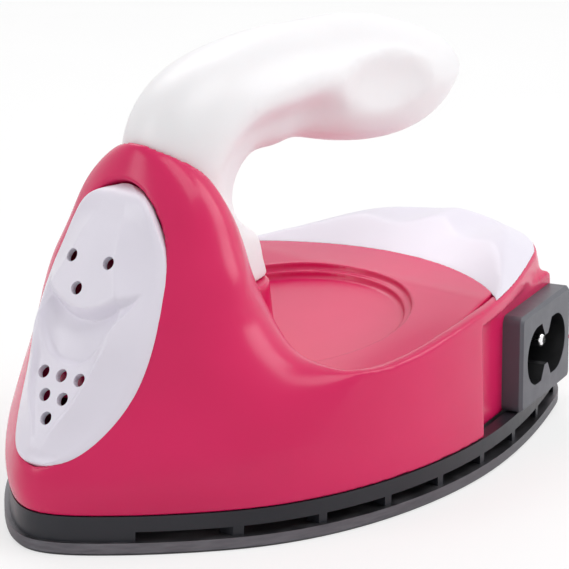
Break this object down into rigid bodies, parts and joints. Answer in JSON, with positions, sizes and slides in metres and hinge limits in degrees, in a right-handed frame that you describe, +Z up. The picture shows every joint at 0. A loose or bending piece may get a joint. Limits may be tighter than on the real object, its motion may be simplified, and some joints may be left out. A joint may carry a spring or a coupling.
{
  "type": "mini craft iron",
  "caption": "Small heat-press iron with a pointed soleplate, vented skirt, glossy shell, swept-back handle and a two-pin power inlet on its flank.",
  "frame": {"origin": "on the ironing face, under the middle of the soleplate's length and width", "axes": "+X from the nose to the heel, +Y to the side without the power inlet, +Z up from the ironing face"},
  "size_m": [0.113, 0.0624, 0.0671],
  "materials": {
    "pink_shell": "glossy moulded plastic",
    "white_plastic": "glossy moulded plastic",
    "handle_plastic": "satin moulded plastic",
    "black_plastic": "moulded heat-proof plastic",
    "inlet_plastic": "moulded plastic",
    "sole_metal": "die-cast, brushed edge",
    "pin_metal": "nickel plated",
    "screw_metal": "zinc plated",
    "spring_steel": "rolled",
    "electrode_metal": "rolled sheet",
    "ceramic_tile": "sintered",
    "insulating_film": "amber film",
    "fuse_metal": "drawn can",
    "sleeve_fibre": "woven glass fibre",
    "lead_insulation": "silicone",
    "lead_insulation_blue": "silicone",
    "crimp_metal": "tinned"
  },
  "bodies": {
    "root": {"soleplate": "sole_metal", "base_skirt": "black_plastic", "base_screws": "screw_metal", "body_shell": "pink_shell", "deck_cover": "pink_shell", "rear_cap": "white_plastic", "front_plate": "white_plastic", "handle_left": "handle_plastic", "handle_right": "handle_plastic", "grip_screws": "screw_metal", "foot_screws": "screw_metal", "inlet_housing": "inlet_plastic", "inlet_pin_live": "pin_metal", "inlet_pin_neutral": "pin_metal", "inlet_clip": "spring_steel", "lower_insulator": "insulating_film", "lower_electrode": "electrode_metal", "ptc_tiles": "ceramic_tile", "upper_electrode": "electrode_metal", "upper_insulator": "insulating_film", "heater_clamp": "spring_steel", "clamp_screws": "screw_metal", "thermal_fuse": "fuse_metal", "fuse_sleeve": "sleeve_fibre", "fuse_strap": "spring_steel", "live_lead": "lead_insulation", "fuse_lead": "lead_insulation", "neutral_lead": "lead_insulation_blue", "lead_crimps": "crimp_metal"}
  },
  "joints": []
}
